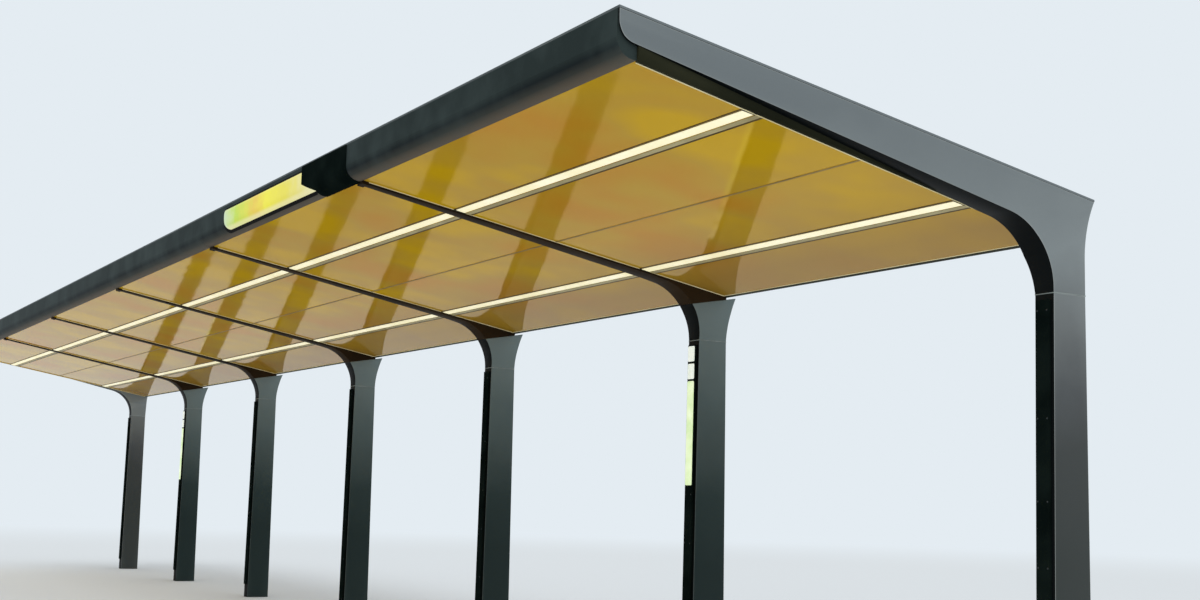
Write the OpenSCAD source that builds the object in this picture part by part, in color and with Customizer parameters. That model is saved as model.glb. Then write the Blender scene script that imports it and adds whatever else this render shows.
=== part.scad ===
// Cantilevered bus shelter: one row of steel portal frames carries a long sloping roof.
// X runs along the shelter, -Y is the open front, Z is up from the ground.

/* [Layout] */
// Distance between the middles of two neighbouring frames
bay = 3000; // [2500:50:3600]
// Width of a post, along the shelter
frame_w = 120; // [90:5:140]
// Width of a knee where it meets the roof
knee_w = 150; // [142:2:180]
// Height over which a knee grows from the post's width to its own
knee_flare_h = 180; // [120:10:240]
// Width of an inner arm at its front end
arm_tip_w = 62; // [50:2:86]
// Width of an end arm at its front end
end_tip_w = 40; // [30:2:60]

/* [Posts] */
// Depth of a post at the weld seam, front to back
post_d = 204; // [170:2:230]
// Depth of a post at the ground
foot_d = 236; // [200:2:270]
// Height of the rear edge of the ceiling above the weld seam between post and head
seam_drop = 285; // [260:5:360]
// Radius of the curve under the knee
knee_r = 340; // [260:10:400]
// How far a head flares out behind its post
head_flare = 60; // [30:2:80]
// How far the rear top corner of an end frame flares out
corner_flare = 66; // [30:2:90]
// Height of the flare of an end frame
corner_flare_h = 284; // [200:4:330]
// Rise of the knee curve at which a head ends, in degrees
head_turn = 36; // [24:1:44]

/* [Covers on the posts] */
// Width of the cable cover on a post
cover_w = 80; // [50:2:86]
// How far the cover stands out from the post
cover_t = 15; // [8:1:24]
// Height of the lower end of a cover above the ground
cover_foot = 140; // [80:10:300]
// Distance from the weld seam down to the upper end of a cover
cover_gap = 30; // [10:5:80]
// Length of a lit post sign
post_sign_l = 880; // [600:10:1100]

/* [Roof] */
// Slope of the roof, in degrees
roof_slope = 10.7; // [8:0.1:13]
// Height of the roof's upper side over the middle of the posts
top_h = 2675; // [2620:5:2760]
// Thickness of the roof, measured square to it
roof_t = 190; // [170:2:206]
// Thickness of the roof sheet and its folded edge
sheet_t = 10; // [6:1:16]
// Distance from the middle of the posts to the rear edge of the ceiling
roof_back = 90; // [70:2:96]
// Width of one ceiling panel on plan
panel_w = 610; // [540:10:660]
// Width of the front row of panels, as far as the middle of the front light
front_row_w = 590; // [520:10:640]
// Thickness of a ceiling panel
panel_t = 6; // [4:1:10]
// How far the nose of the roof stands out past the ceiling
nose_out = 94; // [80:2:120]

/* [Arms] */
// Depth of an arm at the knee, measured upright
arm_knee_d = 208; // [202:2:224]
// Depth of an end arm at its nose
arm_nose_d = 124; // [110:2:150]
// Radius of the lower corner of an end arm's nose
nose_r = 92; // [60:2:96]
// How far a rib stands out below the ceiling
rib_drop = 14; // [8:1:18]

/* [Fascia] */
// Radius of the lower corner of the fascia
fascia_r = 84; // [60:2:90]
// Wall of the fascia
fascia_wall = 6; // [4:1:10]
// Thickness of the rear edge trim
trim_t = 5; // [3:1:8]
// Width of the trim's lip under the ceiling
trim_lip = 16; // [10:1:24]
// Width of the part of an end strip that lies under the end arm
end_strip_w = 14; // [8:1:24]
// How far an end strip stands out beside the end arm, under the ceiling
end_lip = 10; // [6:1:20]
// How far an end strip stands out below the ceiling
end_drop = 5; // [3:1:10]

/* [Lights and joints] */
// Width of a light strip
strip_w = 60; // [40:2:80]
// Depth of the channel that holds a strip
strip_d = 36; // [24:2:46]
// Wall of that channel
channel_wall = 3; // [2:0.5:5]
// How far the strip stands out below the ceiling
strip_drop = 5; // [4:1:10]
// How far the channel's walls stand out below the ceiling
channel_drop = 3; // [1:1:4]
// Width of the bar under the middle joint of the ceiling
joint_w = 12; // [8:1:30]
// Thickness of that bar
joint_t = 2; // [1:1:6]
// Height of the middle purlin's foot above the panels
purlin_gap = 8; // [4:1:16]
// Width of a purlin
purlin_w = 70; // [50:2:90]

/* [Sign] */
// Length of the lit sign in the fascia, along its lower edge
sign_l = 1830; // [1400:10:1880]
// Distance from the frame's middle to the near end of that edge
sign_start = 553; // [500:1:600]
// Width of the fascia's rim above the lit sign
sign_rim = 36; // [24:2:50]
// Height of the lit sign, measured upright
sign_h = 140; // [110:2:146]
// Height of the upright part of the sign's near end
sign_step = 72; // [50:2:90]
// How far the near end leans below that part
sign_lean = 206; // [120:2:260]
// Radius of the upper corner at the sign's far end
sign_r = 34; // [20:2:50]
// How far the lit sign stands out from the fascia
sign_out = 5; // [3:1:10]
// How deep the sign goes into the fascia
sign_in = 12; // [8:1:20]
// How far the housing at the near end of the sign stands out from the fascia
pod_out = 4; // [2:1:10]

/* [Fits] */
// Gap between neighbouring panels, sheets and lengths of fascia
gap = 3; // [1:0.5:5]
// Clearance where a loose piece sits against its carrier
seat = 0.3; // [0.1:0.1:0.6]

/* [Hidden] */
$fn = 48;
bays = 6;
frames = bays + 1;
sign_bay = 2;
post_sign_frames = [2, 6];
slope = tan(roof_slope);
// How far a cutting solid runs past what it cuts, and how far the frames' outlines run up and back
past = 1;
up_past = 2 * top_h;
back_past = 2 * post_d;
// Plan and section places
ceiling_front = roof_back - 4 * panel_w;
nose_y = ceiling_front - nose_out;
strip_front_y = ceiling_front + front_row_w;
joint_y = ceiling_front + 2 * panel_w;
strip_rear_y = ceiling_front + 3 * panel_w;
post_face = post_d / 2;
knee_y = -post_face - knee_r;
shelter_end = bays * bay / 2 + frame_w / 2;
// Height of the roof sheet's underside above the ceiling, and of the middle purlin's foot
deck_rise = (roof_t - sheet_t) / cos(roof_slope);
purlin_low = panel_t + purlin_gap;
steel = "#4A5354";
end_grey = "#747A80";
graphite = "#2E3436";
amber = "#A8842F";

// Middle of frame i, counted from 1 at the +X end
function frame_x(i) = (frames + 1 - 2 * i) * bay / 2;
// Upper side of the roof sheet, underside of that sheet, and the ceiling
function top_z(y) = top_h - slope * y;
function deck_z(y) = top_z(y) - sheet_t / cos(roof_slope);
function ceiling_z(y) = top_z(y) - roof_t / cos(roof_slope);
// Underside of an arm, which grows shallower towards the nose
function arm_z(y) = top_z(y) - arm_knee_d + (arm_knee_d - arm_nose_d) * (knee_y - y) / (knee_y - nose_y);
// Place where the underside of an arm passes the level of the ceiling less "drop"
function arm_meets(drop) =
    knee_y - (knee_y - nose_y) * (arm_knee_d - roof_t / cos(roof_slope) - drop) / (arm_knee_d - arm_nose_d);
// Heights of the weld seam, and of the ends of the covers
seam_h = ceiling_z(roof_back) - seam_drop;
cover_top = seam_h - cover_gap;
post_sign_foot = cover_top - post_sign_l;
// Width of an arm of frame i at the front end, and of an end arm at y
function tip_w(i) = i > 1 && i < frames ? arm_tip_w : end_tip_w;
function end_w(y) = y >= knee_y ? knee_w
    : end_tip_w + (knee_w - end_tip_w) * (y - nose_y) / (knee_y - nose_y);
// Side of frame i towards dir, where it is w wide: the outer face of an end frame is flat from post to nose
function side_x(i, dir, w, more = 0) = frame_x(i) + dir * (more + (i > 1 && i < frames ? w / 2
    : dir == outward(i) ? frame_w / 2 : w - frame_w / 2));
function outward(i) = i == 1 ? 1 : -1;

function unit(v) = v / norm(v);
function wrap(a) = a > 180 ? a - 360 : a < -180 ? a + 360 : a;
// Arc of radius r that rounds the corner b between a and c, from fraction f0 to f1 of its sweep
function corner_arc(a, b, c, r, n = 16, f0 = 0, f1 = 1) =
    let (u = unit(a - b), w = unit(c - b), half = acos(u * w) / 2)
    let (m = b + unit(u + w) * r / sin(half), p = b + u * r / tan(half) - m, q = b + w * r / tan(half) - m)
    let (start = atan2(p[1], p[0]), turn = wrap(atan2(q[1], q[0]) - start))
    [for (i = [0:n]) m + r * [cos(start + turn * (f0 + (f1 - f0) * i / n)),
                              sin(start + turn * (f0 + (f1 - f0) * i / n))]];
// Arc that leaves the rear face of a post upright and flares out by "out" over the height h
function flare_arc(z0, out, h, n = 12) =
    let (r = (h * h + out * out) / (2 * out), sweep = asin(h / r))
    [for (i = [0:n]) [post_face + r * (1 - cos(sweep * i / n)), z0 + r * sin(sweep * i / n)]];

// The knee's inner corner, where the front of the post would meet the underside of the arm
knee_corner = [-post_face, arm_z(-post_face)];
knee_below = [-post_face, 0];
knee_front = [nose_y, arm_z(nose_y)];
knee_sweep = 90 - atan2(knee_front[1] - knee_corner[1], knee_corner[0] - knee_front[0]);
head_part = head_turn / knee_sweep;
head_top_rear = [post_face + head_flare, ceiling_z(roof_back) - trim_t - seat];

// Section in the Y-Z plane, drawn along X over length l about the middle x
module along_x(x, l, points) {
    translate([x - l / 2, 0, 0])
        rotate([90, 0, 90])
            linear_extrude(l) polygon(points);
}

// Plan outline that follows the sides of frame i, grown by "more" on each side
module frame_plan(i, more = 0) {
    tip = nose_y - past;
    linear_extrude(up_past)
        polygon([[side_x(i, -1, tip_w(i), more), tip], [side_x(i, 1, tip_w(i), more), tip],
                 [side_x(i, 1, knee_w, more), knee_y], [side_x(i, 1, knee_w, more), back_past],
                 [side_x(i, -1, knee_w, more), back_past], [side_x(i, -1, knee_w, more), knee_y]]);
}

// Front outline of frame i above the weld seam, where the knee grows wider
module frame_front(i) {
    flare_z = seam_h + knee_flare_h;
    translate([0, back_past, 0])
        rotate([90, 0, 0])
            linear_extrude(back_past - nose_y + past)
                polygon([[side_x(i, -1, frame_w), seam_h - past], [side_x(i, 1, frame_w), seam_h - past],
                         [side_x(i, 1, frame_w), seam_h], [side_x(i, 1, knee_w), flare_z],
                         [side_x(i, 1, knee_w), up_past], [side_x(i, -1, knee_w), up_past],
                         [side_x(i, -1, knee_w), flare_z], [side_x(i, -1, frame_w), seam_h]]);
}

// Section drawn along X over a knee's width, and trimmed to the plan and front outlines of frame i
module frame_part(i, points) {
    intersection() {
        along_x((side_x(i, -1, knee_w) + side_x(i, 1, knee_w)) / 2, knee_w, points);
        frame_plan(i);
        frame_front(i);
    }
}

module post(i) {
    color(i == 1 || i == frames ? end_grey : steel)
        along_x(frame_x(i), frame_w,
            [[-foot_d / 2, 0], [foot_d / 2, 0], [post_face, seam_h], [-post_face, seam_h]]);
}

module head(i) {
    rear = flare_arc(seam_h, head_flare, head_top_rear[1] - seam_h);
    color(steel)
        frame_part(i, concat(
            [[-post_face, seam_h]],
            corner_arc(knee_below, knee_corner, knee_front, knee_r, 8, 0, head_part),
            [for (k = [len(rear) - 1:-1:0]) rear[k]]));
}

// Knee and arm of a frame inside the roof, from the head to the fascia
module arm(i) {
    knee = corner_arc(knee_below, knee_corner, knee_front, knee_r, 10, head_part, 1);
    head_line = (head_top_rear[1] - knee[0][1]) / (head_top_rear[0] - knee[0][0]);
    front = ceiling_front + seat;
    rib_y = min(arm_meets(rib_drop), knee[len(knee) - 1][0] - past);
    color(graphite)
        frame_part(i, concat(
            knee,
            [[rib_y, ceiling_z(rib_y) - rib_drop], [front, ceiling_z(front) - rib_drop],
             [front, deck_z(front)], [roof_back, deck_z(roof_back)],
             [roof_back, knee[0][1] + head_line * (roof_back - knee[0][0])]]));
}

// Knee, arm and nose of an end frame, one smooth piece
module end_arm(i) {
    flare_z = deck_z(post_face + corner_flare) - corner_flare_h;
    rear = flare_arc(flare_z, corner_flare, corner_flare_h);
    nose_top = [nose_y, deck_z(nose_y)];
    color(end_grey)
        frame_part(i, concat(
            [[-post_face, seam_h]],
            corner_arc(knee_below, knee_corner, knee_front, knee_r, 20),
            corner_arc(knee_corner, knee_front, nose_top, nose_r, 12),
            [nose_top],
            [for (k = [len(rear) - 1:-1:0]) rear[k]],
            [[post_face, seam_h]]));
}

// A length that runs between the sides of two neighbouring frames, and stops short of an end strip if "hung"
module between_frames(k, points, hung = false) {
    beside_end = hung ? end_lip + seat : seat;
    difference() {
        along_x((frame_x(k) + frame_x(k + 1)) / 2, bay, points);
        frame_plan(k, k == 1 ? beside_end : seat);
        frame_plan(k + 1, k == bays ? beside_end : seat);
    }
}

// Band parallel to the ceiling from y0 to y1, between two heights above it
function band(y0, y1, low, high) =
    [[y0, ceiling_z(y0) + low], [y1, ceiling_z(y1) + low],
     [y1, ceiling_z(y1) + high], [y0, ceiling_z(y0) + high]];

module ceiling(k) {
    color(amber) {
        between_frames(k, band(ceiling_front + seat, strip_front_y - strip_w / 2 - seat, 0, panel_t));
        between_frames(k, band(strip_front_y + strip_w / 2 + seat, joint_y - gap / 2, 0, panel_t));
        between_frames(k, band(joint_y + gap / 2, strip_rear_y - strip_w / 2 - seat, 0, panel_t));
        between_frames(k, band(strip_rear_y + strip_w / 2 + seat, roof_back - seat, 0, panel_t));
    }
}

// Front and underside of the nose, grown outwards by "more"
function nose_outline(more, r) =
    let (top = [nose_y - more, deck_z(nose_y - more)], low = [nose_y - more, ceiling_z(ceiling_front) - more])
    let (back = [ceiling_front, ceiling_z(ceiling_front) - more])
    concat([back], corner_arc(back, low, top, r, 14), [top]);

// Closed outline of the fascia, shrunk by "inset" all round
function fascia_outline(inset) =
    let (front = nose_y + inset, rear = ceiling_front - inset, low = ceiling_z(ceiling_front) + inset)
    let (top = [front, deck_z(front) - inset])
    concat([[rear, low]], corner_arc([rear, low], [front, low], top, fascia_r - inset, 14),
        [top, [rear, deck_z(rear) - inset]]);

// Ends of what runs along bay k: it meets its neighbour over a frame, or stops at the side of an end frame
function bay_near(k, y) = k == 1 ? side_x(1, -1, end_w(y), seat) : frame_x(k) - gap / 2;
function bay_far(k, y) = k == bays ? side_x(frames, 1, end_w(y), seat) : frame_x(k + 1) + gap / 2;

// Hollow nose of the roof over bay k, with a plate across the end that meets an end frame
module fascia_length(k) {
    near = bay_near(k, ceiling_front);
    far = bay_far(k, ceiling_front);
    inner_near = near - (k == 1 ? fascia_wall : -past);
    inner_far = far + (k == bays ? fascia_wall : -past);
    difference() {
        along_x((near + far) / 2, near - far, fascia_outline(0));
        along_x((inner_near + inner_far) / 2, inner_near - inner_far, fascia_outline(fascia_wall));
    }
}

module fascia() {
    color(graphite)
        for (k = [1:bays]) {
            if (k != sign_bay) fascia_length(k);
        }
}

// Front outline of the lit sign, grown by "more": slanting near end, round far end
function sign_outline(more = 0) =
    let (foot = frame_x(sign_bay) - sign_start, far = foot - sign_l - more)
    let (low = sign_top - sign_h - more, top = sign_top + more, rise = sign_h - sign_step)
    let (slant = more * (norm([sign_lean, rise]) + sign_lean) / rise, near = foot - sign_lean + more)
    let (belly = corner_arc([far, top], [far, low], [foot, low], sign_h - sign_r + more, 12))
    concat([[foot + slant, low], [near, low + (foot + slant - near) * rise / sign_lean], [near, top]],
        corner_arc([near, top], [far, top], [far, low], sign_r + more, 8),
        [for (k = [1:len(belly) - 1]) belly[k]]);
sign_top = deck_z(nose_y) - sign_rim;

// A front outline made solid through the nose of the roof
module through_nose(points, back = ceiling_front - 2 * sign_in) {
    translate([0, back, 0])
        rotate([90, 0, 0])
            linear_extrude(back - nose_y + fascia_r) polygon(points);
}

module sign_fascia() {
    color(graphite)
        difference() {
            fascia_length(sign_bay);
            through_nose(sign_outline(seat));
        }
}

// Lit sign, a curved length of diffuser that follows the nose
module sign_face() {
    x = (frame_x(sign_bay) + frame_x(sign_bay + 1)) / 2;
    color("#E8E23A")
        difference() {
            intersection() {
                along_x(x, bay, fascia_outline(-sign_out));
                through_nose(sign_outline());
            }
            along_x(x, bay, fascia_outline(sign_in));
        }
}

// Housing that wraps the nose from the frame to the near end of the lit sign
module sign_housing() {
    near = frame_x(sign_bay) - gap / 2;
    beside = sign_outline(seat);
    foot = beside[0];
    step = beside[1];
    inner = nose_outline(seat, fascia_r + seat);
    color("#15181A")
        difference() {
            along_x((near + step[0]) / 2, near - step[0], concat(nose_outline(pod_out, fascia_r + pod_out),
                [for (k = [len(inner) - 1:-1:0]) inner[k]]));
            through_nose([[step[0] - past, step[1]], step, foot, [foot[0], 0], [step[0] - past, 0]],
                ceiling_front + past);
        }
}

module roof_sheets() {
    front = nose_y;
    rear = post_face + corner_flare;
    color(graphite)
        for (k = [1:bays]) {
            near = k == 1 ? shelter_end : frame_x(k) - gap / 2;
            far = k == bays ? -shelter_end : frame_x(k + 1) + gap / 2;
            along_x((near + far) / 2, near - far,
                [[front, deck_z(front)], [rear, deck_z(rear)], [rear, top_z(rear)], [front, top_z(front)]]);
        }
}

// Plate that closes the rear of the roof, with a lip that carries the rear edge of the ceiling
module rear_trim() {
    rear = roof_back + trim_t;
    color(graphite)
        for (k = [1:bays]) {
            near = bay_near(k, roof_back);
            far = bay_far(k, roof_back);
            along_x((near + far) / 2, near - far, band(roof_back, rear, -trim_t, deck_rise));
            between_frames(k, band(roof_back - trim_lip, rear, -trim_t, 0), true);
        }
}

// Plan strip along the inner side of an end arm, from "less" under it to "more" beside it
module end_plan(i, less, more) {
    in = -outward(i);
    linear_extrude(up_past)
        polygon([[side_x(i, in, end_tip_w, -less), nose_y], [side_x(i, in, knee_w, -less), knee_y],
                 [side_x(i, in, knee_w, -less), back_past], [side_x(i, in, knee_w, more), back_past],
                 [side_x(i, in, knee_w, more), knee_y], [side_x(i, in, end_tip_w, more), nose_y]]);
}

// Strips that close the ceiling against the end arms: an edge beside the arm, and under its shallow front
module ceiling_ends() {
    front = ceiling_front + seat;
    rear = roof_back - seat;
    under = arm_meets(end_drop);
    color(graphite)
        for (i = [1, frames]) {
            intersection() {
                along_x(frame_x(i), 2 * knee_w, band(front, rear, -end_drop, 0));
                end_plan(i, 0, end_lip);
            }
            intersection() {
                along_x(frame_x(i), 2 * knee_w, [[front, ceiling_z(front) - end_drop],
                    [under, ceiling_z(under) - end_drop], [front, arm_z(front)]]);
                end_plan(i, end_strip_w, 0);
            }
        }
}

// Purlin between the frames, from "low" above the ceiling up to the roof sheet
module purlin(y, low) {
    color(steel)
        for (k = [1:bays]) {
            between_frames(k, band(y - purlin_w / 2, y + purlin_w / 2, low, deck_rise));
        }
}

// Bar that hangs from the middle purlin and carries the edges of two rows of panels
module joint_bar() {
    web = (gap - 2 * seat) / 2;
    flange = joint_w / 2;
    color(graphite)
        for (k = [1:bays]) {
            between_frames(k, band(joint_y - flange, joint_y + flange, -joint_t, 0), true);
            between_frames(k, band(joint_y - web, joint_y + web, 0, purlin_low));
        }
}

module light_channel(y) {
    color("#9AA0A3")
        for (k = [1:bays]) {
            difference() {
                between_frames(k, band(y - strip_w / 2, y + strip_w / 2, -channel_drop, strip_d), true);
                along_x((frame_x(k) + frame_x(k + 1)) / 2, bay,
                    band(y - strip_w / 2 + channel_wall, y + strip_w / 2 - channel_wall,
                        -strip_drop, strip_d - channel_wall));
            }
        }
}

module light(y) {
    half = strip_w / 2 - channel_wall - seat;
    color("#F6F2DC")
        for (k = [1:bays]) {
            between_frames(k, band(y - half, y + half, -strip_drop, strip_d / 2), true);
        }
}

function has_sign(i) = len([for (p = post_sign_frames) if (p == i) p]) > 0;
// Front face of a post at height z
function post_front(z) = -foot_d / 2 + (foot_d / 2 - post_face) * z / seam_h;

module cover(i, z0, z1) {
    along_x(frame_x(i), cover_w, [[post_front(z0) - cover_t, z0], [post_front(z0), z0],
        [post_front(z1), z1], [post_front(z1) - cover_t, z1]]);
}

module cable_covers() {
    color("#1F2426")
        for (i = [1:frames]) {
            cover(i, cover_foot, has_sign(i) ? post_sign_foot - seat : cover_top);
        }
}

module post_sign(i) {
    color("#C9E05A") cover(i, post_sign_foot, cover_top);
}

post(1);  // post_1
post(2);  // post_2
post(3);  // post_3
post(4);  // post_4
post(5);  // post_5
post(6);  // post_6
post(7);  // post_7
head(2);  // head_2
head(3);  // head_3
head(4);  // head_4
head(5);  // head_5
head(6);  // head_6
end_arm(1);  // end_arm_1
arm(2);  // arm_2
arm(3);  // arm_3
arm(4);  // arm_4
arm(5);  // arm_5
arm(6);  // arm_6
end_arm(7);  // end_arm_7
ceiling(1);  // ceiling_1
ceiling(2);  // ceiling_2
ceiling(3);  // ceiling_3
ceiling(4);  // ceiling_4
ceiling(5);  // ceiling_5
ceiling(6);  // ceiling_6
fascia();
sign_fascia();
sign_face();
sign_housing();
roof_sheets();
rear_trim();
ceiling_ends();
purlin(strip_front_y, strip_d);  // front_purlin
purlin(joint_y, purlin_low);  // middle_purlin
purlin(strip_rear_y, strip_d);  // rear_purlin
joint_bar();
light_channel(strip_front_y);  // front_channel
light_channel(strip_rear_y);  // rear_channel
light(strip_front_y);  // front_light
light(strip_rear_y);  // rear_light
cable_covers();
post_sign(2);  // post_sign_2
post_sign(6);  // post_sign_6
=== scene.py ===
"""Finishes and fine details of a cantilevered bus shelter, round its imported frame."""

import math

import bmesh
import bpy
from mathutils import Matrix, Vector


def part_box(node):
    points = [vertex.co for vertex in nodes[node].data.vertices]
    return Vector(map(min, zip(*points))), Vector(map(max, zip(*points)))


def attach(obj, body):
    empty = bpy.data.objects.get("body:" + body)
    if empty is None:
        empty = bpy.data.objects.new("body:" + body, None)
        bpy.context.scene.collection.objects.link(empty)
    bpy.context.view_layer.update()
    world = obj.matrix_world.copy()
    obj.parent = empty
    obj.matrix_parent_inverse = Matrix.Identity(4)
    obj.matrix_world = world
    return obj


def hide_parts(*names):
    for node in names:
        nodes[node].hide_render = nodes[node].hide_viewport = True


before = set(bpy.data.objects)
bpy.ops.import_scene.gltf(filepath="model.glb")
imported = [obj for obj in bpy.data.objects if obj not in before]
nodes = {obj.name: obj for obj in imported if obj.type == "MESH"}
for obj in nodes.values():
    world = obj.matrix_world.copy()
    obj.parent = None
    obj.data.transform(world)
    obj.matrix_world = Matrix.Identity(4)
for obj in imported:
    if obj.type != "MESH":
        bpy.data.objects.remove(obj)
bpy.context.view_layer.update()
BODY = "root"
MM = 0.001

# Sizes that the part's source gives to the frames, in metres
FRAMES = 7
ROOF_SLOPE = math.radians(10.7)
POST_HALF, KNEE_HALF = 0.060, 0.075
KNEE_Y = -0.442
INNER_TIP, END_TIP = 0.062, 0.040
END_LIP, END_DROP = 0.010, 0.005
POST_FACE, POST_FOOT = 0.102, 0.118
COVER_OUT = 0.015

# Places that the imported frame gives
FRAME_X = [sum(corner.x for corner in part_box(f"post_{i}")) / 2 for i in range(1, FRAMES + 1)]
SEAM_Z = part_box("post_1")[1].z
NOSE_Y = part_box("fascia")[0].y
ROOF_LOW, ROOF_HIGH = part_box("roof_sheets")
ceiling_low, ceiling_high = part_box("ceiling_2")
CEILING_FRONT, CEILING_REAR, CEILING_LOW = ceiling_low.y, ceiling_high.y, ceiling_low.z


def ceiling_z(y):
    """Height of the ceiling's visible side."""
    return CEILING_LOW + math.tan(ROOF_SLOPE) * (CEILING_REAR - y)


def outward(i):
    """+1 for the near end frame, -1 for the far one, 0 for an inner frame."""
    return {1: 1, FRAMES: -1}.get(i, 0)


def towards_nose(y):
    """0 behind the knee, 1 at the nose."""
    return min(1.0, max(0.0, (KNEE_Y - y) / (KNEE_Y - NOSE_Y)))


# The end arms thin to a plate's edge at the nose and are a little deeper there than their solids,
# so copies of them are slimmed and deepened, and everything that ends against them follows. What
# lies from 4 mm inside the roof's end to 45 mm past the knee's width is in or beside an end arm
SLIM_TIP = 0.010
DEEPER_NOSE = 0.065
BESIDE_ARM, ROOF_EDGE = 0.045, 0.004
END_ZONE = (ROOF_HIGH.x - 2 * KNEE_HALF - BESIDE_ARM, ROOF_HIGH.x - ROOF_EDGE)


def slimmed(point):
    """Where a point in or beside an end arm lies once the arm is slim."""
    if not END_ZONE[0] < abs(point.x) < END_ZONE[1]:
        return point
    shift = math.copysign((END_TIP - SLIM_TIP) * towards_nose(point.y), point.x)
    return Vector((point.x + shift, point.y, point.z))


def deepened(point):
    """Where a point of an end arm lies once the arm is deeper towards the nose."""
    top = ROOF_HIGH.z - math.tan(ROOF_SLOPE) * (point.y - ROOF_LOW.y)
    depth = (top - point.z) * (1 + DEEPER_NOSE * towards_nose(point.y))
    return Vector((point.x, point.y, top - depth))


def arm_side(i, towards, y):
    """X of the side of arm i that looks towards +X or -X, at depth y."""
    tip = SLIM_TIP if outward(i) else INNER_TIP
    width = 2 * KNEE_HALF + (tip - 2 * KNEE_HALF) * towards_nose(y)
    if not outward(i):
        reach = width / 2
    else:
        reach = POST_HALF if towards == outward(i) else width - POST_HALF
    return FRAME_X[i - 1] + towards * reach


def ceiling_side(i, towards, y):
    """X at which the ceiling ends beside arm i, past the closing strip of an end frame."""
    return arm_side(i, towards, y) + towards * (END_LIP if outward(i) else 0)


def cover_face(z):
    """Y of the outer face of a cover or sign on a post, at height z."""
    return -(POST_FOOT - (POST_FOOT - POST_FACE) * z / SEAM_Z) - COVER_OUT


# The sides of the arms that meet a ceiling: the arm's number, and the way that the side looks
CEILING_SIDES = [(i, towards) for i in range(1, FRAMES + 1) for towards in (1, -1)
                 if towards != outward(i)]

# Materials


def linear(hex_colour):
    """An sRGB colour such as "#6E777A" as linear RGBA."""
    parts = [int(hex_colour[i:i + 2], 16) / 255 for i in (1, 3, 5)]
    return [p / 12.92 if p <= 0.04045 else ((p + 0.055) / 1.055) ** 2.4 for p in parts] + [1.0]


def connect(tree, node, inputs):
    """Fills inputs of a node. A socket is linked, a node is linked by its first output in use, and
    any other value is set, a hex colour as linear RGBA."""
    for name, value in inputs.items():
        if isinstance(value, bpy.types.Node):
            value = next(output for output in value.outputs if output.enabled)
        if isinstance(value, bpy.types.NodeSocket):
            tree.links.new(value, node.inputs[name])
        else:
            node.inputs[name].default_value = linear(value) if isinstance(value, str) else value


def add(tree, kind, inputs=None, stops=(), **settings):
    """Adds one node with its settings and links. The stops are those of a colour ramp, each a
    place and a hex colour."""
    made = tree.nodes.new(kind)
    for name, value in settings.items():
        setattr(made, name, value)
    connect(tree, made, inputs or {})
    if stops:
        band = made.color_ramp.elements
        while len(band) < len(stops):
            band.new(0.5)
        for element, (place, colour) in zip(band, stops):
            element.position = place
            element.color = linear(colour)
    return made


def new_material(name, **uniform):
    """A material with its node tree, its shader and the object's own coordinates in metres."""
    made = bpy.data.materials.new(name)
    made.use_nodes = True
    tree = made.node_tree
    shader = tree.nodes["Principled BSDF"]
    for socket, value in uniform.items():
        shader.inputs[socket.replace("_", " ")].default_value = value
    return made, tree, shader, add(tree, "ShaderNodeTexCoord").outputs["Object"]


def facing(tree):
    """The X, Y and Z of the way that the surface faces."""
    surface = add(tree, "ShaderNodeNewGeometry").outputs
    return add(tree, "ShaderNodeSeparateXYZ", {"Vector": surface["Normal"]}).outputs


def swayed(tree, value, sway, place, patch, detail):
    """The value, moved by noise up or down by half the sway at most."""
    patches = add(tree, "ShaderNodeTexNoise", {
        "Vector": place, "Scale": 1 / patch, "Detail": detail})
    shift = add(tree, "ShaderNodeMath", {0: patches, 1: sway, 2: -sway / 2},
                operation="MULTIPLY_ADD")
    return add(tree, "ShaderNodeMath", {0: value, 1: shift}, operation="ADD")


def relief(tree, shader, place, grain, depth, strength=0.3, detail=2.0):
    """Unevenness of a surface, its grain and depth in metres. The real grain of a coat is under a
    millimetre, too fine to show, so it is drawn some millimetres wide."""
    texture = add(tree, "ShaderNodeTexNoise", {
        "Vector": place, "Scale": 1 / grain, "Detail": detail})
    bump = add(tree, "ShaderNodeBump", {
        "Height": texture, "Strength": strength, "Distance": depth})
    connect(tree, shader, {"Normal": bump})


def coated(name, dark, light, patch, grain, glow=0.0, **uniform):
    """A coat that drifts between two tones in patches, with a fine grain. A glow makes it shine
    by itself."""
    made, tree, shader, place = new_material(name, Emission_Strength=glow, **uniform)
    patches = add(tree, "ShaderNodeTexNoise", {
        "Vector": place, "Scale": 1 / patch, "Detail": 4.0})
    tone = add(tree, "ShaderNodeValToRGB", {"Fac": patches}, [(0.35, dark), (0.65, light)])
    connect(tree, shader, {"Base Color": tone})
    if glow:
        connect(tree, shader, {"Emission Color": tone})
    relief(tree, shader, place, grain, 0.3 * MM)
    return made


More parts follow.
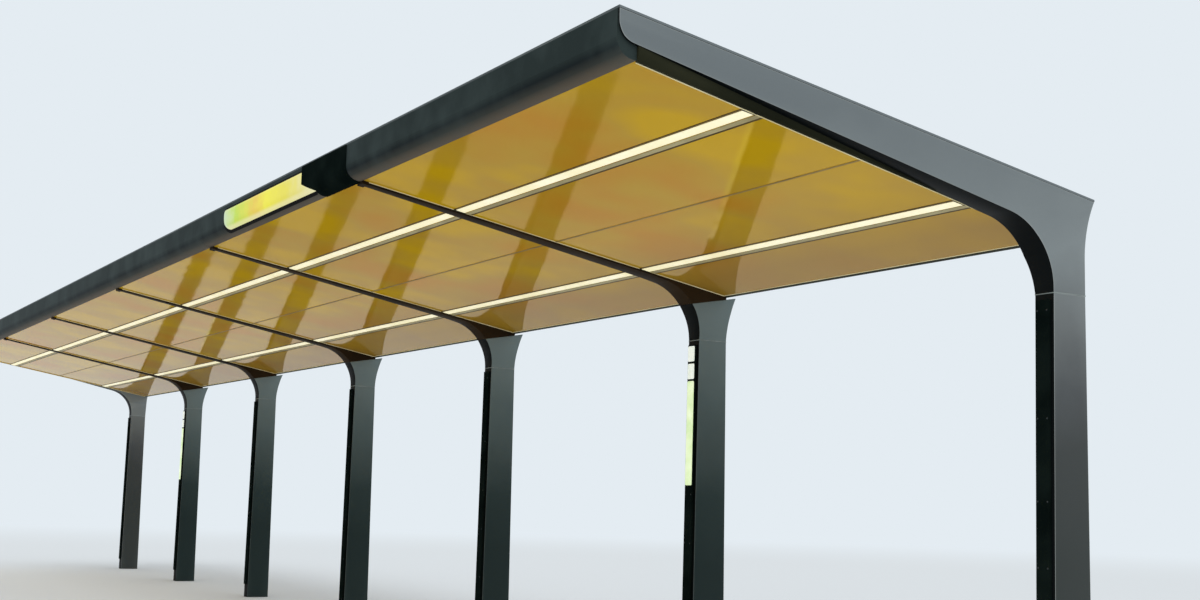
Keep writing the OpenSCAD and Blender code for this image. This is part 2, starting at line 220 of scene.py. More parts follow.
def powder_coat(name, stops, shaded, edge, z_low, z_high):
    """Satin powder coat on steel: the stops give the tone from the foot at z_low to the top at
    z_high. Painted shade turns the faces that look down or to the open front near black, and a
    painted highlight lightens the rounded edges."""
    made, tree, shader, place = new_material(name, Roughness=0.5, Specular_IOR_Level=0.05)
    axes = add(tree, "ShaderNodeSeparateXYZ", {"Vector": place}).outputs
    height = add(tree, "ShaderNodeMapRange", {
        "Value": axes["Z"], "From Min": z_low, "From Max": z_high})
    tone = add(tree, "ShaderNodeValToRGB", {
        "Fac": swayed(tree, height, 0.12, place, 300 * MM, 4.0)}, stops)
    normal = facing(tree)
    sideways = add(tree, "ShaderNodeMath", {0: normal["X"]}, operation="ABSOLUTE")
    # Painted highlight: the pale edge colour is painted on the rounded edges, where the faces turn
    # off the sides
    painted_highlight_mask = add(tree, "ShaderNodeMapRange", {
        "Value": sideways, "From Min": 0.995, "From Max": 0.9, "To Max": 0.7})
    with_painted_highlight = add(tree, "ShaderNodeMix", {"Factor": painted_highlight_mask, "A": tone, "B": edge},
                   data_type="RGBA")
    # Painted shade: the faces that look down or to the open front get the dark shaded colour
    to_front, down = [add(tree, "ShaderNodeMath", {0: normal[axis], 1: -1.0},
                          operation="MULTIPLY") for axis in ("Y", "Z")]
    either = add(tree, "ShaderNodeMath", {0: to_front, 1: down}, operation="MAXIMUM")
    painted_shade_mask = add(tree, "ShaderNodeMapRange", {
        "Value": either, "From Min": 0.45, "From Max": 0.7})
    colour = add(tree, "ShaderNodeMix", {"Factor": painted_shade_mask, "A": with_painted_highlight, "B": shaded},
                 data_type="RGBA")
    connect(tree, shader, {"Base Color": colour})
    relief(tree, shader, place, 6 * MM, 0.4 * MM)
    return made


SIGN_CORNER = 34 * MM
GASKET_WIDTH = 15 * MM


def fascia_coat(sign_low, sign_high):
    """Graphite powder coat on the hollow nose, its tone painted by the way the surface faces: a
    painted highlight makes it blue-green above, painted shade near black at the turn, and a
    painted reflection of the ceiling warm brown below. A black gasket frames the opening of the
    sign."""
    made, tree, shader, place = new_material("graphite_powder_coat", Roughness=0.45,
                                             Specular_IOR_Level=0.01)
    # Painted light by facing: a painted reflection below, painted shade at the turn, a painted
    # highlight above
    turn = add(tree, "ShaderNodeMapRange", {
        "Value": facing(tree)["Z"], "From Min": -1.0, "From Max": 0.4})
    tone = add(tree, "ShaderNodeValToRGB", {"Fac": turn}, [
        (0.0, "#665C50"), (0.2, "#3B3D39"), (0.45, "#1B2224"), (0.7, "#242D2C"),
        (0.95, "#404D50")])
    dust = add(tree, "ShaderNodeTexNoise", {
        "Vector": place, "Scale": 1 / (260 * MM), "Detail": 5.0})
    dusty = add(tree, "ShaderNodeMapRange", {
        "Value": dust, "From Min": 0.4, "From Max": 0.8, "To Max": 0.35})
    coat = add(tree, "ShaderNodeMix", {"Factor": dusty, "A": tone, "B": "#4A5655"},
               data_type="RGBA")
    axes = add(tree, "ShaderNodeSeparateXYZ", {"Vector": place}).outputs
    gaps = []
    for axis, low, high in (("X", sign_low.x, sign_high.x), ("Z", sign_low.z, sign_high.z)):
        aside = add(tree, "ShaderNodeMath", {0: axes[axis], 1: (low + high) / 2},
                    operation="SUBTRACT")
        off = add(tree, "ShaderNodeMath", {0: aside}, operation="ABSOLUTE")
        past = add(tree, "ShaderNodeMath", {0: off, 1: (high - low) / 2 - SIGN_CORNER},
                   operation="SUBTRACT")
        gaps.append(add(tree, "ShaderNodeMath", {0: past, 1: 0.0}, operation="MAXIMUM"))
    corner = add(tree, "ShaderNodeCombineXYZ", {"X": gaps[0], "Y": gaps[1]})
    away = add(tree, "ShaderNodeVectorMath", {0: corner}, operation="LENGTH")
    gasket = add(tree, "ShaderNodeMath", {0: away, 1: SIGN_CORNER + GASKET_WIDTH},
                 operation="LESS_THAN")
    colour = add(tree, "ShaderNodeMix", {"Factor": gasket, "A": coat, "B": "#07090A"},
                 data_type="RGBA")
    connect(tree, shader, {"Base Color": colour})
    relief(tree, shader, place, 8 * MM, 0.5 * MM)
    return made


def ceiling_laminate():
    """Amber high-pressure laminate with a gloss surface film. The boards wave a little, and
    mirror the posts as soft bands. The row behind the rear light is duller."""
    made, tree, shader, place = new_material("amber_gloss_laminate", Roughness=0.06,
                                             Metallic=0.2, Specular_IOR_Level=0.01)
    patches = add(tree, "ShaderNodeTexNoise", {
        "Vector": place, "Scale": 1 / (900 * MM), "Detail": 2.0})
    tone = add(tree, "ShaderNodeValToRGB", {"Fac": patches}, [
        (0.34, "#D89B2A"), (0.5, "#D5A832"), (0.62, "#E4B514")])
    axes = add(tree, "ShaderNodeSeparateXYZ", {"Vector": place}).outputs
    rear_row = add(tree, "ShaderNodeMapRange", {
        "Value": axes["Y"], "From Min": -1.0, "From Max": -0.2, "To Max": 0.7})
    colour = add(tree, "ShaderNodeMix", {"Factor": rear_row, "A": tone, "B": "#A47C38"},
                 data_type="RGBA")
    connect(tree, shader, {"Base Color": colour})
    relief(tree, shader, place, 420 * MM, 3 * MM, strength=0.5, detail=1.0)
    return made


def sign_acrylic(low, high):
    """Yellow acrylic with lamps behind it: the light is uneven, greenish and pale at the far end,
    and palest along the lower edge."""
    made, tree, shader, place = new_material("yellow_acrylic_lit", Roughness=0.3,
                                             Emission_Strength=0.5, Specular_IOR_Level=0.1)
    axes = add(tree, "ShaderNodeSeparateXYZ", {"Vector": place}).outputs
    along = add(tree, "ShaderNodeMapRange", {
        "Value": axes["X"], "From Min": low.x, "From Max": high.x})
    tone = add(tree, "ShaderNodeValToRGB", {
        "Fac": swayed(tree, along, 0.16, place, 60 * MM, 3.0)}, [
        (0.0, "#C9DDB8"), (0.08, "#CBE08C"), (0.15, "#C0DC3E"), (0.27, "#DCDD3C"),
        (0.38, "#EACB42"), (0.52, "#F2EA34"), (0.72, "#E9DE48"), (0.88, "#E9E08A"),
        (1.0, "#F0ECC0")])
    upright = add(tree, "ShaderNodeMapRange", {
        "Value": axes["Z"], "From Min": low.z, "From Max": high.z})
    paler = add(tree, "ShaderNodeValToRGB", {"Fac": upright}, [
        (0.0, "#DDDDDD"), (0.1, "#CCCCCC"), (0.22, "#000000"), (0.85, "#000000"),
        (1.0, "#777777")])
    light = add(tree, "ShaderNodeMix", {"Factor": paler, "A": tone, "B": "#F6F0B8"},
                data_type="RGBA")
    unlit = add(tree, "ShaderNodeMix", {"Factor": 1.0, "A": light, "B": "#BCBCBC"},
                data_type="RGBA", blend_type="MULTIPLY")
    connect(tree, shader, {"Emission Color": light, "Base Color": unlit})
    return made


def roof_coat():
    """Coil-coated steel sheet, matt and a little dusty, with its two cut ends painted as the end
    arms."""
    made, tree, shader, place = new_material("coil_coated_steel", Roughness=0.55,
                                             Specular_IOR_Level=0.25)
    dust = add(tree, "ShaderNodeTexNoise", {
        "Vector": place, "Scale": 1 / (700 * MM), "Detail": 5.0})
    tone = add(tree, "ShaderNodeValToRGB", {"Fac": dust}, [
        (0.35, "#3A4143"), (0.6, "#454D4E"), (0.75, "#555C5A")])
    sideways = add(tree, "ShaderNodeMath", {0: facing(tree)["X"]}, operation="ABSOLUTE")
    at_end = add(tree, "ShaderNodeMath", {0: sideways, 1: 0.9}, operation="GREATER_THAN")
    colour = add(tree, "ShaderNodeMix", {"Factor": at_end, "A": tone, "B": "#6C7477"},
                 data_type="RGBA")
    connect(tree, shader, {"Base Color": colour})
    relief(tree, shader, place, 20 * MM, 0.4 * MM)
    return made


# Grey powder coat on the welded end frames: satin and darker at the foot, with painted shade near
# black on the faces that look down or to the front, and a pale painted highlight on the edges
end_paint = powder_coat("grey_powder_coat", [
    (0.0, "#3F4443"), (0.25, "#464A4A"), (0.38, "#54585A"), (0.5, "#6C7172"), (0.68, "#848C8E"),
    (0.9, "#727A7D")], "#0B0F10", "#B4BAB8", 0.9, 3.1)
# Green-grey powder coat on the inner posts and heads: the same satin, darker and cooler, with the
# same painted shade on the faces that look down or to the front and a painted edge highlight
post_paint = powder_coat("green_grey_powder_coat", [
    (0.1, "#293535"), (0.33, "#323F3F"), (0.5, "#485454"), (0.67, "#576566"), (0.85, "#6C7A7B"),
    (1.0, "#768485")], "#050909", "#7F8988", 0.6, 2.4)
# Matt black powder coat on the ribs, with a brown tint that is a painted reflection of the amber
# ceiling beside them
arm_paint = coated("matt_black_powder_coat", "#21180E", "#332617", 400 * MM, 5 * MM,
                   Roughness=0.55, Specular_IOR_Level=0.03)
# A weld ground by hand under thin paint: lighter and rougher than the plate beside it
weld_paint = coated("painted_weld", "#7C8684", "#98A19F", 60 * MM, 4 * MM,
                    Roughness=0.6, Specular_IOR_Level=0.2)
# Black anodised aluminium of the ceiling's trims: flat and almost without gloss
trim_black = coated("black_anodised_aluminium", "#22241A", "#313224", 500 * MM, 3 * MM,
                    Roughness=0.45, Specular_IOR_Level=0.02)
# Bronze anodised aluminium of the joint bar: a warm line, darker than the ceiling
bronze = coated("bronze_anodised_aluminium", "#8A6E30", "#A5863F", 300 * MM, 3 * MM,
                Roughness=0.4, Specular_IOR_Level=0.1)
# Dark bronze aluminium in the joints beside the lights: flat, so that they read as gaps
dark_bronze = coated("dark_bronze_aluminium", "#4A3A18", "#5E4B22", 300 * MM, 3 * MM,
                     Roughness=0.45, Specular_IOR_Level=0.05)
# Cream paint on the beads' aluminium: smooth, its brightness partly the paint and partly a painted
# highlight along the ceiling's edges, a pale outline round each ceiling
cream = coated("cream_painted_aluminium", "#EBD9A2", "#FBEFC2", 250 * MM, 3 * MM,
               Roughness=0.4, Specular_IOR_Level=0.1)
# The same paint on the lights' flanges, darkened by painted shade because they face the ground
cream_in_painted_shade = coated("cream_aluminium_in_painted_shade", "#A99A6C", "#C4B684", 250 * MM, 3 * MM,
                    Roughness=0.4, Specular_IOR_Level=0.1)
# Satin aluminium of the lights' channels, tinted with the ceiling's amber as a painted reflection
channel_paint = coated("satin_aluminium", "#7A6C48", "#93845C", 200 * MM, 3 * MM,
                       Roughness=0.4, Specular_IOR_Level=0.2)
# Opal acrylic over lamps: milky, warm and evenly bright
opal = coated("opal_acrylic_lit", "#F6EBBE", "#FFF6D6", 350 * MM, 2 * MM, glow=0.45,
              Roughness=0.5, Specular_IOR_Level=0.1)
# White and green acrylic of the post signs, lit from inside
white_lit = coated("white_acrylic_lit", "#DDE8DC", "#F4FAF4", 40 * MM, 2 * MM, glow=0.42,
                   Roughness=0.4)
green_lit = coated("green_acrylic_lit", "#BDD69C", "#DDEAC6", 120 * MM, 2 * MM, glow=0.62,
                   Roughness=0.4)
# Black acrylic of the sign's housing, the post signs and the covers: near black, a little green
black_case = coated("black_gloss_acrylic", "#0A1110", "#131B19", 200 * MM, 3 * MM,
                    Roughness=0.3, Specular_IOR_Level=0.0)
# Black oxide on the screws' steel: dark, with a dull metal shine
black_screw = coated("black_oxide_steel", "#1E2223", "#303536", 10 * MM, 2 * MM,
                     Roughness=0.4, Metallic=0.5)
# Grey primer sprayed on the purlins' rolled steel: flat and even
primer = coated("grey_primer", "#565C5E", "#666C6E", 200 * MM, 4 * MM, Roughness=0.8)
sign_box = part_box("sign_face")
graphite = fascia_coat(*sign_box)
yellow = sign_acrylic(*sign_box)
amber = ceiling_laminate()
roof_paint = roof_coat()

# Nodes whose shape is right as it is
for material, names in (
        (graphite, ["sign_fascia"]),
        (trim_black, ["rear_trim"]),
        (roof_paint, ["roof_sheets"]),
        (amber, [f"ceiling_{i}" for i in range(2, FRAMES - 1)]),
        (yellow, ["sign_face"]),
        (black_case, ["sign_housing", "cable_covers", "post_sign_2", "post_sign_6"]),
        (primer, ["front_purlin", "middle_purlin", "rear_purlin"])):
    for name in names:
        mesh = nodes[name].data
        mesh.materials.clear()
        mesh.materials.append(material)

# Finished copies of nodes

SMOOTH_BELOW = math.radians(28)
FLAT_WITHIN = math.radians(0.2)
MERGE_WITHIN = 0.01 * MM
EDGE_SEGMENTS = 3
POST_EDGE, END_ARM_EDGE, RIB_EDGE = 5 * MM, 4 * MM, 3 * MM


def placed(name, data):
    """An object at the origin that shows a mesh, lamp or camera."""
    piece = bpy.data.objects.new(name, data)
    bpy.context.scene.collection.objects.link(piece)
    return piece


def mesh_from(work, name, material):
    """Turns a bmesh into a mesh in one material."""
    mesh = bpy.data.meshes.new(name)
    work.to_mesh(mesh)
    work.free()
    mesh.materials.append(material)
    return mesh


def finished(name, material, finish, *moves, radius=0.0):
    """A merged copy of a node, moved by the given rules. With a radius its sharp edges are
    rounded, as folded and welded plate has them."""
    work = bmesh.new()
    work.from_mesh(nodes[name].data)
    bmesh.ops.remove_doubles(work, verts=work.verts, dist=MERGE_WITHIN)
    bmesh.ops.dissolve_limit(work, angle_limit=FLAT_WITHIN, verts=work.verts, edges=work.edges)
    for vertex in work.verts:
        for move in moves:
            vertex.co = move(vertex.co)
    mesh = mesh_from(work, f"{name}_finished", material)
    mesh.shade_smooth()
    piece = placed(f"{name}_finished", mesh)
    if radius:
        edges = piece.modifiers.new("rounded_edges", "BEVEL")
        edges.width = radius
        edges.segments = EDGE_SEGMENTS
        edges.limit_method = "ANGLE"
        edges.angle_limit = SMOOTH_BELOW
        edges.harden_normals = True
    else:
        mesh.set_sharp_from_angle(angle=SMOOTH_BELOW)
    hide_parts(name)
    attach(piece, BODY)


for i in range(1, FRAMES + 1):
    if outward(i):
        finished(f"post_{i}", end_paint, "end_frame_paint", radius=POST_EDGE)
        finished(f"end_arm_{i}", end_paint, "end_frame_paint", slimmed, deepened,
                 radius=END_ARM_EDGE)
    else:
        finished(f"post_{i}", post_paint, "frame_paint", radius=POST_EDGE)
        finished(f"head_{i}", post_paint, "frame_paint", radius=POST_EDGE)
        finished(f"arm_{i}", arm_paint, "arm_paint", radius=RIB_EDGE)
for name, material, finish in (
        ("ceiling_1", amber, "ceiling_panel"),
        (f"ceiling_{FRAMES - 1}", amber, "ceiling_panel"),
        ("ceiling_ends", trim_black, "fascia_paint"),
        ("fascia", graphite, "fascia_paint"),
        ("joint_bar", bronze, "fascia_paint"),
        ("front_channel", channel_paint, "channel_aluminium"),
        ("rear_channel", channel_paint, "channel_aluminium"),
        ("front_light", opal, "light_diffuser"),
        ("rear_light", opal, "light_diffuser")):
    finished(name, material, finish, slimmed)

# Trees for repeated pieces

BEAD_SIDES = 8
SCREW_SEGMENTS, SCREW_RINGS, DOME_HEIGHT = 12, 6, 0.45
CORNER_POINTS = 5


def new_tree(name, sizes):
    """An empty geometry tree with a mesh in, a mesh out, named sizes and a material."""
    tree = bpy.data.node_groups.new(name, "GeometryNodeTree")
    sockets = [("Geometry", "INPUT", "Geometry"), *[(size, "INPUT", "Float") for size in sizes],
               ("Material", "INPUT", "Material"), ("Geometry", "OUTPUT", "Geometry")]
    for socket, in_out, kind in sockets:
        tree.interface.new_socket(name=socket, in_out=in_out, socket_type=f"NodeSocket{kind}")
    return tree, add(tree, "NodeGroupInput").outputs


def finish_tree(tree, shape, given, smooth):
    """Ends a tree with real geometry in its material."""
    shaded = add(tree, "GeometryNodeSetShadeSmooth", {"Geometry": shape, "Shade Smooth": smooth})
    real = add(tree, "GeometryNodeRealizeInstances", {"Geometry": shaded})
    painted = add(tree, "GeometryNodeSetMaterial", {
        "Geometry": real, "Material": given["Material"]})
    add(tree, "NodeGroupOutput", {"Geometry": painted})
    return tree


def on_points(tree, given, shape):
    """Copies of one shape on every point, tilted about X."""
    turn = add(tree, "ShaderNodeCombineXYZ", {"X": given["Tilt"]})
    return add(tree, "GeometryNodeInstanceOnPoints", {
        "Points": given["Geometry"], "Instance": shape, "Rotation": turn})


def bead_tree():
    """A round bead along every line that it is given."""
    tree, given = new_tree("bead_along_lines", ["Radius"])
    path = add(tree, "GeometryNodeMeshToCurve", {"Mesh": given["Geometry"]})
    section = add(tree, "GeometryNodeCurvePrimitiveCircle", {
        "Resolution": BEAD_SIDES, "Radius": given["Radius"]})
    bead = add(tree, "GeometryNodeCurveToMesh", {
        "Curve": path, "Profile Curve": section, "Fill Caps": True})
    return finish_tree(tree, bead, given, True)


def bar_tree():
    """A square bar on every point."""
    tree, given = new_tree("bars_on_points", ["Width", "Length", "Height", "Tilt"])
    size = add(tree, "ShaderNodeCombineXYZ", {
        "X": given["Width"], "Y": given["Length"], "Z": given["Height"]})
    bar = add(tree, "GeometryNodeMeshCube", {"Size": size})
    return finish_tree(tree, on_points(tree, given, bar), given, False)


def screw_tree():
    """A domed screw head on every point."""
    tree, given = new_tree("screws_on_points", ["Radius", "Tilt"])
    ball = add(tree, "GeometryNodeMeshUVSphere", {
        "Segments": SCREW_SEGMENTS, "Rings": SCREW_RINGS, "Radius": given["Radius"]})
    dome = add(tree, "GeometryNodeTransform", {
        "Geometry": ball, "Scale": (1.0, 1.0, DOME_HEIGHT)})
    return finish_tree(tree, on_points(tree, given, dome), given, True)


def pane_tree():
    """A round-cornered pane on every point."""
    tree, given = new_tree("panes_on_points", ["Width", "Length", "Corner", "Thickness", "Tilt"])
    outline = add(tree, "GeometryNodeCurvePrimitiveQuadrilateral", {
        "Width": given["Width"], "Height": given["Length"]})
    corners = add(tree, "GeometryNodeFilletCurve", {
        "Curve": outline, "Count": CORNER_POINTS, "Radius": given["Corner"]}, mode="POLY")
    plate = add(tree, "GeometryNodeFillCurve", {"Curve": corners}, mode="NGONS")
    top = add(tree, "GeometryNodeExtrudeMesh", {
        "Mesh": plate, "Offset Scale": given["Thickness"], "Individual": False})
    back = add(tree, "GeometryNodeFlipFaces", {"Mesh": plate})
    closed = add(tree, "GeometryNodeJoinGeometry", {"Geometry": top})
    connect(tree, closed, {"Geometry": back})
    whole = add(tree, "GeometryNodeMergeByDistance", {
        "Geometry": closed, "Distance": MERGE_WITHIN})
    return finish_tree(tree, on_points(tree, given, whole), given, False)


def grow(name, tree, lines, material, finish, **sizes):
    """Runs a tree on lines, each a list of points, and keeps the result as a plain mesh."""
    points = [tuple(p) for line in lines for p in line]
    edges, start = [], 0
    for line in lines:
        edges += [(start + k, start + k + 1) for k in range(len(line) - 1)]
        start += len(line)
    seed = bpy.data.meshes.new(name)
    seed.from_pydata(points, edges, [])
    piece = placed(name, seed)
    modifier = piece.modifiers.new("growth", "NODES")
    modifier.node_group = tree
    sizes["Material"] = material
    for socket in tree.interface.items_tree:
        if socket.in_out == "INPUT" and socket.name in sizes:
            modifier[socket.identifier] = sizes[socket.name]
    bpy.context.view_layer.update()
    ready = bpy.context.evaluated_depsgraph_get()
    grown = bpy.data.meshes.new_from_object(piece.evaluated_get(ready), depsgraph=ready)
    piece.modifiers.clear()
    piece.data = grown
    grown.name = name
    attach(piece, BODY)


beads, bars, screws, panes = bead_tree(), bar_tree(), screw_tree(), pane_tree()

# Trims of the ceiling

# Cream beads that close the ceiling against the arms, with the bend of the arms' sides at the knee
EDGE_BEAD = 3.5 * MM
BEAD_OFF_ARM = 2 * MM
SIDE_BEAD_INSET, REAR_BEAD_INSET = 18 * MM, 21 * MM
edge_lines = []
for i, towards in CEILING_SIDES:
    drop = END_DROP if outward(i) else 0
    edge_lines.append([
        (ceiling_side(i, towards, y) + towards * BEAD_OFF_ARM, y, ceiling_z(y) - drop)
        for y in (CEILING_FRONT + EDGE_BEAD, KNEE_Y, CEILING_REAR - SIDE_BEAD_INSET)])
grow("ceiling_edge_beads", beads, edge_lines, cream, "ceiling_panel", Radius=EDGE_BEAD)

# The same bead along the rear edge of every bay
bead_y = CEILING_REAR - REAR_BEAD_INSET
rear_lines = [[(side, bead_y, ceiling_z(bead_y))
               for side in (ceiling_side(i, -1, bead_y), ceiling_side(i + 1, 1, bead_y))]
              for i in range(1, FRAMES)]
grow("rear_edge_beads", beads, rear_lines, cream, "ceiling_panel", Radius=EDGE_BEAD)

# How far a band reaches into the ceiling and the arms
BAND_SINK = 1 * MM
# The faces of a box whose corners run from front to rear, then from +X to -X, then upwards
BOX_FACES = ((0, 1, 3, 2), (4, 6, 7, 5), (0, 4, 5, 1), (2, 3, 7, 6), (0, 2, 6, 4), (1, 5, 7, 3))


def ceiling_bands(name, y_front, y_rear, drop, material):
    """Flat bands under the ceiling in every bay, cut at the arms' slant."""
    work = bmesh.new()
    for i in range(1, FRAMES):
        corners = [work.verts.new((side, y, ceiling_z(y) + dz))
                   for y in (y_front, y_rear)
                   for side in (ceiling_side(i, -1, y) - BAND_SINK,
                                ceiling_side(i + 1, 1, y) + BAND_SINK)
                   for dz in (-drop, BAND_SINK)]
        for face in BOX_FACES:
            work.faces.new([corners[k] for k in face])
    bmesh.ops.recalc_face_normals(work, faces=work.faces)
    piece = placed(name, mesh_from(work, name, material))
    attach(piece, BODY)


# Bands beside each light: a fine joint in front, and a cream flange and a dark joint behind. A row
# holds the channel's edge that the band is measured from (0 front, 1 rear), where it starts and
# ends behind that edge and how far it hangs down, in millimetres, and its material
LIGHT_BANDS = (("front_joint", 0, -9, -3, 1.0, dark_bronze),
               ("flange", 1, 9, 37, 2.5, cream_in_painted_shade),
               ("rear_joint", 1, 37.5, 51, 1.5, dark_bronze))
# Clips at the ends of the lights, a little longer than the channels are deep
CLIP_WIDTH, CLIP_HEIGHT = 16 * MM, 9 * MM
CLIP_OVER, CLIP_DROP = 8 * MM, 2 * MM
for light in ("front", "rear"):
    channel = [corner.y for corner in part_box(f"{light}_channel")]
    for band, edge, start, end, drop, material in LIGHT_BANDS:
        ceiling_bands(f"{light}_light_{band}", channel[edge] + start * MM,
                      channel[edge] + end * MM, drop * MM, material)
    middle = sum(channel) / 2
    clips = [[(ceiling_side(i, towards, middle) + towards * CLIP_WIDTH / 2, middle,
               ceiling_z(middle) - CLIP_DROP)] for i, towards in CEILING_SIDES]
    grow(f"{light}_light_end_clips", bars, clips, trim_black, "channel_aluminium",
         Width=CLIP_WIDTH, Length=channel[1] - channel[0] + CLIP_OVER, Height=CLIP_HEIGHT,
         Tilt=-ROOF_SLOPE)

# Caps on the front ends of the ribs, where they reach the nose
CAP_WIDER, CAP_LENGTH, CAP_HEIGHT = 22 * MM, 36 * MM, 22 * MM
CAP_INSET, CAP_DROP = 12 * MM, 8 * MM
cap_y = CEILING_FRONT + CAP_INSET
cap_points = [[(x, cap_y, ceiling_z(cap_y) - CAP_DROP)] for x in FRAME_X[1:-1]]
grow("rib_end_caps", bars, cap_points, arm_paint, "arm_paint", Width=INNER_TIP + CAP_WIDER,
     Length=CAP_LENGTH, Height=CAP_HEIGHT, Tilt=-ROOF_SLOPE)

# Details of the posts and the roof

# Weld beads round the posts at the seam, sunk a little into the plates
WELD_BEAD, WELD_SINK = 2.5 * MM, 1 * MM
ROUND_POST = ((1, -1), (1, 1), (-1, 1), (-1, -1), (1, -1))
weld_lines = [[(x + across * (POST_HALF - WELD_SINK), along * (POST_FACE - WELD_SINK), SEAM_Z)
               for across, along in ROUND_POST] for x in FRAME_X]
grow("weld_seams", beads, weld_lines, weld_paint, "frame_paint", Radius=WELD_BEAD)

# Screws on the covers of the posts, none of them on the lit part of a post sign
COVER_TILT = math.pi / 2 - math.atan((POST_FOOT - POST_FACE) / SEAM_Z)
SIGN_POSTS = (2, 6)
SCREW_RADIUS, SCREW_SIDE = 5 * MM, 30 * MM
SCREW_HEIGHTS, HIGH_SCREWS = (0.18, 0.55, 0.92, 1.22), (1.6, 2.1)
screw_points = [[(x + side, cover_face(z), z)]
                for i, x in enumerate(FRAME_X, start=1) for side in (-SCREW_SIDE, SCREW_SIDE)
                for z in SCREW_HEIGHTS + (() if i in SIGN_POSTS else HIGH_SCREWS)]
grow("cover_screws", screws, screw_points, black_screw, "cover_gloss", Radius=SCREW_RADIUS,
     Tilt=COVER_TILT)

# Lit panes of the two post signs: two white ones above and a tall green one below
PANE_WIDTH, PANE_CORNER = 72 * MM, 9 * MM
PANE_THICKNESS, PANE_SINK = 3 * MM, 1 * MM


def sign_panes(name, spans, material):
    """Panes on the front of each sign's black case. The spans give the heights of their lower and
    upper edges, and are equally tall."""
    low, high = spans[0]
    middles = [[(FRAME_X[i - 1], cover_face(sum(span) / 2) + PANE_SINK, sum(span) / 2)]
               for i in SIGN_POSTS for span in spans]
    grow(name, panes, middles, material, "post_sign_diffuser", Width=PANE_WIDTH,
         Length=high - low, Corner=PANE_CORNER, Thickness=PANE_THICKNESS, Tilt=COVER_TILT)


sign_panes("post_sign_white_panes", [(2.046, 2.142), (1.936, 2.032)], white_lit)
sign_panes("post_sign_green_panes", [(1.276, 1.923)], green_lit)

# Standing seams of the roof sheets, about half a metre apart and short of the roof's edges
ROOF_SEAM_PITCH = 0.5
ROOF_SEAM_WIDTH, ROOF_SEAM_HEIGHT, ROOF_SEAM_SHORT = 8 * MM, 22 * MM, 60 * MM
roof_length = ROOF_HIGH.x - ROOF_LOW.x
roof_depth = (ROOF_HIGH.y - ROOF_LOW.y) / math.cos(ROOF_SLOPE)
seam_y = (ROOF_HIGH.y + ROOF_LOW.y) / 2
seam_z = (ROOF_HIGH.z + ROOF_LOW.z) / 2 + ROOF_SEAM_HEIGHT / 2
seams = round(roof_length / ROOF_SEAM_PITCH)
seam_points = [[(ROOF_LOW.x + (k + 0.5) * roof_length / seams, seam_y, seam_z)]
               for k in range(seams)]
grow("standing_seams", bars, seam_points, roof_paint, "roof_sheet", Width=ROOF_SEAM_WIDTH,
     Length=roof_depth - ROOF_SEAM_SHORT, Height=ROOF_SEAM_HEIGHT, Tilt=-ROOF_SLOPE)

# Camera, surroundings and light

# The place and angle from which the photo was taken
LENS, SENSOR_WIDTH, CLIP_END = 47.75, 36, 400
CAMERA_AT = Vector((14.385, -5.486, 1.196))
TURN, RISE, ROLL = math.radians(29.28), math.radians(7.02), math.radians(1.42)
forward = Vector((-math.cos(TURN) * math.cos(RISE), math.sin(TURN) * math.cos(RISE),
                  math.sin(RISE)))
level_right = Vector((math.sin(TURN), math.cos(TURN), 0))
level_up = level_right.cross(forward)
right = math.cos(ROLL) * level_right + math.sin(ROLL) * level_up
up = math.cos(ROLL) * level_up - math.sin(ROLL) * level_right
camera_data = bpy.data.cameras.new("camera")
camera_data.lens = LENS
camera_data.sensor_width = SENSOR_WIDTH
camera_data.clip_end = CLIP_END
camera = placed("camera", camera_data)
camera.matrix_world = Matrix((right, up, -forward)).transposed().to_4x4()
camera.location = CAMERA_AT
bpy.context.scene.camera = camera

PALE, FLOOR_TONE = "#E4ECF2", "#D5DBDF"
SKY_LIGHT = 0.85


def shown_to(tree):
    """1 for rays from the camera, from a gloss or through glass, which see the plain pale
    backdrop."""
    path = add(tree, "ShaderNodeLightPath").outputs
    seen = add(tree, "ShaderNodeMath", {0: path["Is Camera Ray"], 1: path["Is Glossy Ray"]},
               operation="MAXIMUM")
    return add(tree, "ShaderNodeMath", {0: seen, 1: path["Is Transmission Ray"]},
               operation="MAXIMUM")


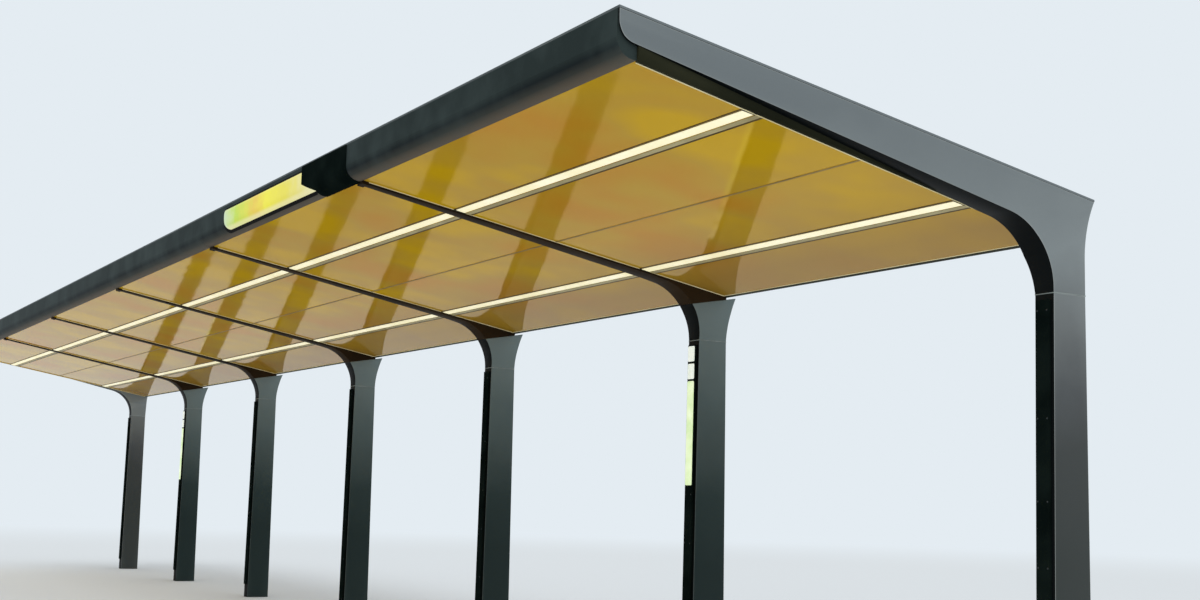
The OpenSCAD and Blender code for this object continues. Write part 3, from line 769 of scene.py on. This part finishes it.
world = bpy.data.worlds.new("surroundings")
world.use_nodes = True
bpy.context.scene.world = world
sky_tree = world.node_tree
lighting = add(sky_tree, "ShaderNodeBackground", {"Color": "#FFFFFF", "Strength": SKY_LIGHT})
backdrop = add(sky_tree, "ShaderNodeBackground", {"Color": PALE, "Strength": 1.0})
sky = add(sky_tree, "ShaderNodeMixShader", {0: shown_to(sky_tree), 1: lighting, 2: backdrop})
connect(sky_tree, sky_tree.nodes["World Output"], {"Surface": sky})

# A pale floor that keeps the object's shadow, and fades into the backdrop far from it
FLOOR_HALF = 150
FADE_FROM, FADE_TO = 16.0, 34.0
floor_mesh = bpy.data.meshes.new("floor")
floor_mesh.from_pydata([(-FLOOR_HALF, -FLOOR_HALF, 0), (FLOOR_HALF, -FLOOR_HALF, 0),
                        (FLOOR_HALF, FLOOR_HALF, 0), (-FLOOR_HALF, FLOOR_HALF, 0)],
                       [], [(0, 1, 2, 3)])
floor = placed("floor", floor_mesh)
floor_paint, floor_tree, floor_shader, floor_place = new_material(
    "pale_floor", Roughness=0.9, Specular_IOR_Level=0.0)
connect(floor_tree, floor_shader, {"Base Color": FLOOR_TONE})
distance = add(floor_tree, "ShaderNodeVectorMath", {0: floor_place}, operation="LENGTH")
fade = add(floor_tree, "ShaderNodeMapRange", {
    "Value": distance, "From Min": FADE_FROM, "From Max": FADE_TO},
    interpolation_type="SMOOTHSTEP")
share = add(floor_tree, "ShaderNodeMath", {0: fade, 1: shown_to(floor_tree)},
            operation="MULTIPLY")
far_tone = add(floor_tree, "ShaderNodeEmission", {"Color": PALE, "Strength": 1.0})
ground = add(floor_tree, "ShaderNodeMixShader", {0: share, 1: floor_shader, 2: far_tone})
connect(floor_tree, floor_tree.nodes["Material Output"], {"Surface": ground})
floor_mesh.materials.append(floor_paint)

sun_data = bpy.data.lights.new("soft_sun", "SUN")
sun_data.energy = 0.9
sun_data.angle = math.radians(35)
sun = placed("soft_sun", sun_data)
sun.rotation_euler = (math.radians(38), math.radians(22), math.radians(20))

bpy.context.scene.view_settings.view_transform = "Standard"
